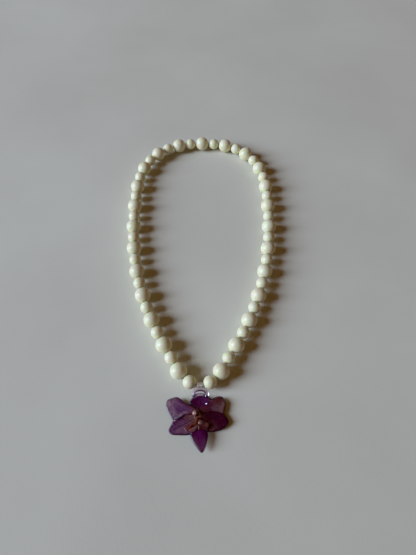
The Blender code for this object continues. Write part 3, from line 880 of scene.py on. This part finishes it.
def smooth_outline(points, steps):
    """A closed curve through an outline's points, in metres, round the flower's centre."""
    count = len(points)
    smooth = []
    for i in range(count):
        a, b, c, d = (Vector(points[(i + k) % count]) for k in (-1, 0, 1, 2))
        leaves, arrives = CORNER_EASE * (c - a), CORNER_EASE * (d - b)
        for step in range(steps):
            t = step / steps
            gone = t * t * (3 - 2 * t)
            point = b.lerp(c, gone) + leaves * t * (1 - t) ** 2 - arrives * t * t * (1 - t)
            smooth.append(MM * point)
    return smooth


def grown_outline(points, grow):
    """The outline moved outward by a distance, along the normal at each point."""
    area = sum(points[i - 1].cross(points[i]) for i in range(len(points)))
    turn = math.copysign(1.0, area)
    grown = []
    for i, point in enumerate(points):
        along = (points[(i + 1) % len(points)] - points[i - 1]).normalized()
        grown.append(point + turn * grow * Vector((along.y, -along.x)))
    return grown


def blade_height(petal, x, y):
    """Height of a petal's middle surface: base to tip, with its edges cupped up or down."""
    tip = Vector(petal["tip"]) * MM
    reach = tip.length
    along = (x * tip.x + y * tip.y) / reach ** 2
    across = (x * tip.y - y * tip.x) / reach ** 2
    base_z, tip_z, cup = petal["base_z"] * MM, petal["tip_z"] * MM, petal["cup"] * MM
    return base_z + (tip_z - base_z) * along + 4 * cup * across ** 2


def half_widths(rim, tip):
    """Lowest and highest distance across a petal, at even stations from its base to its tip."""
    forward = tip.normalized()
    spots = [(p.dot(forward) / tip.length, p.x * forward.y - p.y * forward.x) for p in rim]
    stations = []
    for k in range(WIDTH_STATIONS + 1):
        here = k / WIDTH_STATIONS
        crossings = []
        for (a, u), (b, v) in zip(spots, spots[1:] + spots[:1]):
            if (a - here) * (b - here) <= 0 and a != b:
                crossings.append(u + (v - u) * (here - a) / (b - a))
        stations.append((min(crossings), max(crossings)) if crossings else None)
    known = [k for k, pair in enumerate(stations) if pair]
    return [stations[min(known, key=lambda n: abs(n - k))] for k in range(WIDTH_STATIONS + 1)]


def petal_spot(point, tip, widths):
    """How far along a petal a point is, from 0 to 1, and how far across, from -1 to 1."""
    forward = tip.normalized()
    along = point.dot(forward) / tip.length
    lateral = point.x * forward.y - point.y * forward.x
    place = min(max(along, 0.0), 1.0) * WIDTH_STATIONS
    station = min(int(place), WIDTH_STATIONS - 1)
    low, high = (a + (b - a) * (place - station) for a, b in zip(widths[station], widths[station + 1]))
    half = max((high - low) / 2, MM)
    side = (lateral - (low + high) / 2) / half
    return along, min(max(side, -1.0), 1.0)


def petal_relief(point, along, side, inset, seed):
    """Rise of a petal's surface above its smooth form: veins, slow waves and a ruffled rim."""
    start = point.to_3d()
    wave = WAVE_DEPTH * noise.noise(start / WAVE_SIZE + seed * UP)
    ruffle = RUFFLE_DEPTH * (1 - inset) ** 2 * noise.noise(start / RUFFLE_SIZE + 3 * seed * UP)
    vein = 0.0
    for line in VEIN_LINES:
        place = line * (1 - VEIN_SPREAD + VEIN_SPREAD * along)
        vein = max(vein, math.exp(-((side - place) / VEIN_WIDTH) ** 2))
    fade = max(0.0, 1.0 - VEIN_FADE * max(along, 0.0)) * min(1.0, VEIN_START * inset)
    return wave + ruffle + VEIN_DEPTH * vein * fade


def add_petal(name, petal, slot):
    """A thin closed petal with veins, and the values that its material reads."""
    tip = Vector(petal["tip"]) * MM
    seed = petal["palette"]["seed"]
    rim = grown_outline(smooth_outline(petal["outline"], PETAL_STEPS), PETAL_SPREAD)
    frayed = []
    for point, outer in zip(rim, grown_outline(rim, MM)):
        nudge = noise.noise(point.to_3d() / FRAY_SIZE + seed * UP)
        frayed.append(point + (outer - point) / MM * FRAY_DEPTH * nudge)
    widths = half_widths(rim, tip)
    tree = kdtree.KDTree(len(rim))
    for i, point in enumerate(rim):
        tree.insert(point.to_3d(), i)
    tree.balance()
    hub = mean(frayed)
    shares = [1.0 - (k / PETAL_RINGS) ** RING_CROWDING for k in range(PETAL_RINGS)]
    bm = new_bmesh("along", "side", "inset")
    rims = []
    for face_side in (1, -1):
        rings = []
        for share in shares + [0.0]:
            ring = []
            for point in (frayed if share > 0 else [hub]):
                spot = hub + (point - hub) * share
                along, side = petal_spot(spot, tip, widths)
                inset = 0.0 if share == 1.0 else min(1.0, tree.find(spot.to_3d())[2] / INSET_REACH)
                full = min(1.0, EDGE_ROUNDING * inset)
                half = PETAL_THICKNESS / 2 * (EDGE_SHARE + (1 - EDGE_SHARE) * full)
                rise = petal_relief(spot, along, side, inset, seed) + face_side * half
                height = blade_height(petal, *spot) + rise
                ring.append(new_vert(bm, (*spot, height), along=along, side=side, inset=inset))
            rings.append(ring)
        inner, middle = rings[-2], rings.pop()
        bridge(bm, rings)
        for k, corner in enumerate(inner):
            bm.faces.new((corner, inner[(k + 1) % len(inner)], middle[0]))
        rims.append(rings[0])
    bridge(bm, rims[::-1])
    add_flower_piece(bm, name, petal_material(name, petal["palette"]), slot)


def spline_point(points, share):
    """A point on the smooth curve through a list of vectors, at a share of its way."""
    place = share * (len(points) - 1)
    i = min(int(place), len(points) - 2)
    t = place - i
    b, c = points[i], points[i + 1]
    a = points[i - 1] if i > 0 else 2 * b - c
    d = points[i + 2] if i + 2 < len(points) else 2 * c - b
    return 0.5 * (2 * b + (c - a) * t + (2 * a - 5 * b + 4 * c - d) * t ** 2
                  + (3 * b - a - 3 * c + d) * t ** 3)


def column_rings(grow, sides, rings):
    """Rings of points up the column, with a round end: each ring's points, spokes and share."""
    path = [Vector((*point, radius)) for point, radius in zip(COLUMN_PATH, COLUMN_RADII)]
    built = []
    for k in range(rings + 1):
        share = k / rings
        here = spline_point(path, share)
        near = spline_point(path, max(0.0, share - COLUMN_STRIDE))
        far = spline_point(path, min(1.0, share + COLUMN_STRIDE))
        turn = UP.rotation_difference((far.xyz - near.xyz).normalized()).to_matrix()
        built.append((here.xyz * MM, turn, here.w * MM + grow, share))
    centre, turn, radius, _ = built[-1]
    cap_rings = round(rings * COLUMN_END_RINGS)
    for k in range(1, cap_rings):
        tilt = math.pi / 2 * k / cap_rings
        rise = turn @ (radius * math.sin(tilt) * UP)
        built.append((centre + rise, turn, radius * math.cos(tilt), 1.0))
    result = []
    for middle, turn, radius, share in built:
        spokes = [turn @ Vector((cosine, sine, 0)) for cosine, sine in turns(sides)]
        result.append(([middle + radius * spoke for spoke in spokes], spokes, share))
    return result


def crest_rings(grow, sides):
    """The lip's crest as rings round an upright axis, turned from a smooth profile."""
    profile = [Vector(pair) for pair in CREST_PROFILE]
    rings = []
    for k in range(CREST_RINGS + 1):
        radius, z = spline_point(profile, k / CREST_RINGS)
        rise = z * MM + grow * (2 * k / CREST_RINGS - 1)
        rings.append(disc_points(max(radius, CREST_LEAST) * MM + grow, rise, CREST_CENTRE, sides))
    return rings


def add_crest():
    """Two swollen, wrinkled ridges side by side, with a groove between them."""
    bm = bmesh.new()
    rings = []
    for ring in crest_rings(0.0, COLUMN_SIDES):
        middle = mean(ring)
        made = []
        for point in ring:
            spoke = point - middle
            groove = math.exp(-(spoke.x / CREST_GROOVE_WIDTH) ** 2) * (spoke.length / CREST_GROOVE_REACH)
            ribs = CREST_RIB_DEPTH * math.cos(CREST_RIBS * math.atan2(spoke.y, spoke.x))
            lumps = CREST_LUMPS * noise.noise(point / CREST_LUMP_SIZE)
            made.append(middle + spoke * (CREST_SHARE - CREST_GROOVE * groove + ribs + lumps))
        rings.append(made)
    add_closed(bm, rings)
    add_flower_piece(bm, "lip_crest", callus_material(), "lip")


def add_column():
    bm = new_bmesh("along", "side")
    rings = []
    for points, spokes, share in column_rings(0.0, COLUMN_SIDES, COLUMN_RINGS):
        middle = mean(points)
        ring = []
        for point, spoke in zip(points, spokes):
            swell = 1.0 + COLUMN_LUMPS * noise.noise(point / COLUMN_LUMP_SIZE)
            ring.append(new_vert(bm, middle + (point - middle) * swell, along=share, side=spoke.x))
        rings.append(ring)
    loft(bm, rings)
    add_flower_piece(bm, "column", column_material(), "column")


def add_cap():
    """The cap on the column's end: two swollen halves, with a groove between them."""
    centre = Vector(COLUMN_PATH[-1]) * MM
    turn = UP.rotation_difference(CAP_FACING).to_matrix()
    radius = COLUMN_RADII[-1] * MM
    bm = new_bmesh("groove")
    rings = []
    for k in range(CAP_RINGS + 1):
        tilt = CAP_REACH * min(1.0, (CAP_RINGS - k + CAP_RING_START) / (CAP_RINGS - 1))
        ring = []
        for cosine, sine in turns(COLUMN_SIDES):
            spoke = Vector((math.sin(tilt) * cosine, math.sin(tilt) * sine, math.cos(tilt)))
            groove = math.exp(-(radius * spoke.x / CAP_GROOVE) ** 2)
            swell = CAP_RISE * math.sqrt(max(0.0, 1 - (tilt / CAP_REACH) ** 2))
            swell *= 1 - CAP_GROOVE_DEPTH * groove
            out = CAP_INSIDE * radius if k == 0 else radius + swell
            ring.append(new_vert(bm, centre + turn @ (out * spoke), groove=groove))
        rings.append(ring)
    loft(bm, rings)
    add_flower_piece(bm, "column_cap", cap_material(), "column")


def add_keel(name, keel):
    """A low tapered ridge that follows a lobe of the lip."""
    spots = [Vector(point) for point in keel["path"]]
    low, high = keel["rise"]
    taper_start, taper_length, taper_power = KEEL_TAPER
    points = []
    for k in range(KEEL_STEPS + 1):
        x, y = spline_point(spots, k / KEEL_STEPS) * MM
        rise = MM * (low + (high - low) * k / KEEL_STEPS)
        points.append(Vector((x, y, blade_height(LIP_LOBES[keel["lobe"]], x, y) + rise)))
    bm = new_bmesh("along")
    rings = []
    for k, point in enumerate(points):
        share = k / KEEL_STEPS
        forward = (points[min(k + 1, KEEL_STEPS)] - points[max(k - 1, 0)]).normalized()
        across = forward.cross(UP).normalized()
        upward = across.cross(forward)
        taper = math.sin(math.pi * (taper_start + taper_length * share)) ** taper_power
        half = keel["half_width"] * MM * taper * (1.0 + KEEL_LUMPS * noise.noise(point / KEEL_LUMP_SIZE))
        rings.append([new_vert(bm, point + half * (cosine * across + KEEL_FLATNESS * sine * upward),
                               along=share) for cosine, sine in turns(KEEL_SIDES)])
    loft(bm, rings)
    add_flower_piece(bm, name, keel_material(keel["colours"]), "lip")


# Resin

def add_blade_body(bm, petal, grow):
    """A petal's form moved out on every side, to be melted into the resin."""
    rim = grown_outline(smooth_outline(petal["outline"], BODY_STEPS), grow)
    hub = mean(rim)
    rings = []
    for side, shares in ((-1, BODY_SHARES), (1, BODY_SHARES[::-1])):
        for share in shares:
            rise = side * (BLADE_THICKNESS / 2 + grow) * (RIM_SHARE if share == 1.0 else 1.0)
            spots = [hub + (point - hub) * share for point in rim]
            rings.append([Vector((*spot, blade_height(petal, *spot) + rise)) + FLOWER_CENTRE
                          for spot in spots])
    add_closed(bm, rings)


def disc_points(radius, z, centre, sides):
    return [centre + Vector((radius * cosine, radius * sine, z)) for cosine, sine in turns(sides)]


def rod_points(radius, x, sides):
    """A ring round the thread's line where it runs through the bail."""
    return [TUBE_MIDDLE + Vector((x, radius * cosine, radius * sine)) for cosine, sine in turns(sides)]


def squared(value):
    """A sine or cosine changed so that a circle made of them turns into a rounded square."""
    return math.copysign(abs(value) ** HOOP_SQUARENESS, value)


def add_hoop_body(bm):
    rings = []
    for cosine, sine in turns(HOOP_STEPS):
        ring = []
        for out, rise in turns(ROUND_SIDES):
            reach = HOOP_RADIUS + HOOP_BAR_WIDTH / 2 * out
            point = Vector((HOOP_STRETCH * reach * squared(cosine), reach * squared(sine),
                            HOOP_BAR_HEIGHT / 2 * rise))
            ring.append(bm.verts.new(HOOP_PLACE @ point))
        rings.append(ring)
    bridge(bm, rings[-1:] + rings)


def add_pool(bm, middle, half_sizes):
    """A rounded swelling where the resin gathered between two forms."""
    swell = Matrix.Diagonal((*(MM * half for half in half_sizes), 1.0))
    place = Matrix.Translation(FLOWER_CENTRE + MM * Vector(middle)) @ swell
    bmesh.ops.create_icosphere(bm, subdivisions=POOL_DIVISIONS, radius=1.0, matrix=place)


def store_painted_refraction_and_haze(mesh):
    """Store the painted refraction, purple painted into the clear resin for the petals' colour that it would
    refract, and where the tube and hoop are hazy.

    The painted refraction is strongest inside the hoop and in the rims just beyond the petals.
    """
    painted_refraction = mesh.attributes.new("painted_refraction", "FLOAT", "POINT").data
    haze_and_highlight = mesh.attributes.new("haze_and_highlight", "FLOAT", "POINT").data
    back = HOOP_PLACE.inverted()
    power = 2 / HOOP_SQUARENESS
    corners = []
    faces = []
    for petal in PETALS.values():
        rim = grown_outline(smooth_outline(petal["outline"], BODY_STEPS), PETAL_SPREAD)
        faces.append(range(len(corners), len(corners) + len(rim)))
        corners += [point.to_3d() for point in rim]
    petals = bvhtree.BVHTree.FromPolygons(corners, faces)
    for i, vert in enumerate(mesh.vertices):
        spot = back @ vert.co
        place = vert.co - FLOWER_CENTRE
        off_tube = vert.co - TUBE_MIDDLE
        reach = (abs(spot.x / HOOP_STRETCH) ** power + abs(spot.y) ** power) ** (1 / power)
        outward = (reach - HOOP_RADIUS) / (HOOP_BAR_WIDTH / 2)
        # The tube's haze grows towards its left end, the end facing the key light: partly sanded frost,
        # partly a painted highlight
        if math.hypot(off_tube.y, off_tube.z) < TUBE_REACH:
            leftward = 0.5 - off_tube.x / TUBE_LENGTH
            haze_and_highlight[i].value = min(1.0, max(0.0, TUBE_HAZE_AND_HIGHLIGHT[0] + TUBE_HAZE_AND_HIGHLIGHT[1] * leftward))
        # Painted refraction in the hoop: purple for the flower's colour refracted in its bar, darkest at its
        # inner edge; haze towards its outer edge
        elif abs(spot.z) < HOOP_BAR_HEIGHT and abs(outward) < HOOP_REACH and spot.y > 0:
            share = min(1.0, max(HOOP_PAINTED_REFRACTION_LEAST, HOOP_PAINTED_REFRACTION_MIDDLE - outward))
            painted_refraction[i].value = HOOP_PAINTED_REFRACTION * share
            haze_and_highlight[i].value = HOOP_CLOUD * (1 - share)
        # Painted refraction in the rims: dark purple for the petals' colour refracted in the clear rims,
        # fading away from the petals and weaker at the pale rims
        elif vert.co.z > PAD_TOP or place.xy.length > PAD_RADIUS + MM:
            beyond = petals.find_nearest(place.xy.to_3d())[3]
            fade = (RIM_END[1] - beyond) / (RIM_END[1] - RIM_END[0])
            share = min(1.0, beyond / RIM_START) * min(1.0, max(RIM_PAINTED_REFRACTION_LEAST, fade))
            for pale_at, size, least in PALE_RIMS:
                share *= min(1.0, max(least, (place / MM - Vector(pale_at)).length / size))
            painted_refraction[i].value = RIM_PAINTED_REFRACTION * share


def modified_copy(made):
    graph = bpy.context.evaluated_depsgraph_get()
    return bpy.data.meshes.new_from_object(made.evaluated_get(graph))


def cut_with(mesh, bodies):
    """The mesh with closed bodies cut out of it."""
    base = link("cut_base", mesh)
    cutters = []
    for rings in bodies:
        bm = bmesh.new()
        add_closed(bm, rings)
        cutters.append(link("cutter", finished_mesh(bm, "cutter")))
        boolean = base.modifiers.new("cut", "BOOLEAN")
        boolean.operation = "DIFFERENCE"
        boolean.solver = "EXACT"
        boolean.object = cutters[-1]
    result = modified_copy(base)
    for old in cutters + [base]:
        bpy.data.objects.remove(old)
    bm = bmesh.new()
    bm.from_mesh(result)
    bmesh.ops.dissolve_degenerate(bm, dist=CLEAN_DISTANCE, edges=bm.edges)
    bm.to_mesh(result)
    bm.free()
    return result


def leave_swing_room(mesh, beads):
    """Press the hoop in where the beads beside it would touch it as the pendant swings."""
    low, high = SWING["range_deg"]
    keep_out = []
    for _, centre, _, radius in (beads[0], beads[-1]):
        for k in range(SWING_STEPS + 1):
            angle = -math.radians(low + (high - low) * k / SWING_STEPS)
            turn = Matrix.Rotation(angle, 3, Vector(SWING["axis"]))
            keep_out.append((TUBE_MIDDLE + turn @ (centre - TUBE_MIDDLE), radius + SWING_GAP))
    bm = bmesh.new()
    bm.from_mesh(mesh)
    around = {v for v in bm.verts if any((v.co - spot).length < reach for spot, reach in keep_out)}
    for _ in range(SWING_EASE):
        around |= {edge.other_vert(v) for v in around for edge in v.link_edges}
    for _ in range(SWING_EASE):
        bmesh.ops.smooth_vert(bm, verts=list(around), factor=EASE, use_axis_x=True, use_axis_y=True,
                              use_axis_z=True)
        for vert in around:
            for spot, reach in keep_out:
                away = vert.co - spot
                if away.length < reach:
                    vert.co = spot + reach * away.normalized()
    bm.to_mesh(mesh)
    bm.free()


def add_resin(beads):
    """The coat: every form melted into one, smoothed, then bored for the thread and the stalk."""
    bm = bmesh.new()
    grow = FIT_GAP + COAT
    for petal in PETALS.values():
        add_blade_body(bm, petal, grow)
    column = [points for points, _, _ in column_rings(grow, ROUND_SIDES, COLUMN_BODY_RINGS)]
    for rings in (column, crest_rings(grow, ROUND_SIDES)):
        add_closed(bm, [[point + FLOWER_CENTRE for point in ring] for ring in rings])
    half = TUBE_LENGTH / 2
    add_closed(bm, [disc_points(PAD_RADIUS, z, FLOWER_CENTRE, HOOP_STEPS) for z in (0.0, PAD_TOP)])
    add_closed(bm, [rod_points(TUBE_DIAMETER / 2, x, ROUND_SIDES) for x in (-half, half)])
    add_hoop_body(bm)
    for middle, half_sizes in POOLS:
        add_pool(bm, middle, half_sizes)
    melted = link("resin_melted", finished_mesh(bm, "resin_rough"))
    remesh = melted.modifiers.new("melt", "REMESH")
    remesh.mode = "VOXEL"
    remesh.voxel_size = RESIN_VOXEL
    smooth = melted.modifiers.new("ease", "SMOOTH")
    smooth.factor = EASE
    smooth.iterations = RESIN_SMOOTHING
    mesh = modified_copy(melted)
    bpy.data.objects.remove(melted)
    for vert in mesh.vertices:
        vert.co.z = max(vert.co.z, 0.0)
    leave_swing_room(mesh, beads)
    bore = [rod_points(TUBE_BORE / 2, x, BORE_SIDES) for x in (-TUBE_LENGTH, TUBE_LENGTH)]
    port = [disc_points(STALK_RADIUS + FIT_GAP, z, FLOWER_CENTRE, BORE_SIDES) for z in (-MM, PORT_TOP)]
    mesh = cut_with(mesh, [bore, port])
    store_painted_refraction_and_haze(mesh)
    mesh.shade_smooth()
    mesh.set_sharp_from_angle(angle=SHARP_ANGLE)
    add_piece("resin_casting", mesh, resin_material(), "pendant", "resin_coat")


def add_stalk():
    """The cut stalk and the swelling above it, which carries the tepals."""
    bm = bmesh.new()
    add_closed(bm, [disc_points(r * MM, z * MM, Vector(), BORE_SIDES) for r, z in STALK_PROFILE])
    mesh = add_flower_piece(bm, "stalk", stalk_material(), "tepal")
    mesh.set_sharp_from_angle(angle=SHARP_ANGLE)


add_studio()
strung = read_beads()
add_beads(strung)
add_thread(strung)
for slot_name, forms in (("tepal", TEPALS), ("lip", LIP_LOBES)):
    for petal_name, petal_form in forms.items():
        add_petal(petal_name, petal_form, slot_name)
add_crest()
add_column()
add_cap()
for keel_name, keel_form in KEELS.items():
    add_keel(keel_name, keel_form)
add_stalk()
add_resin(strung)
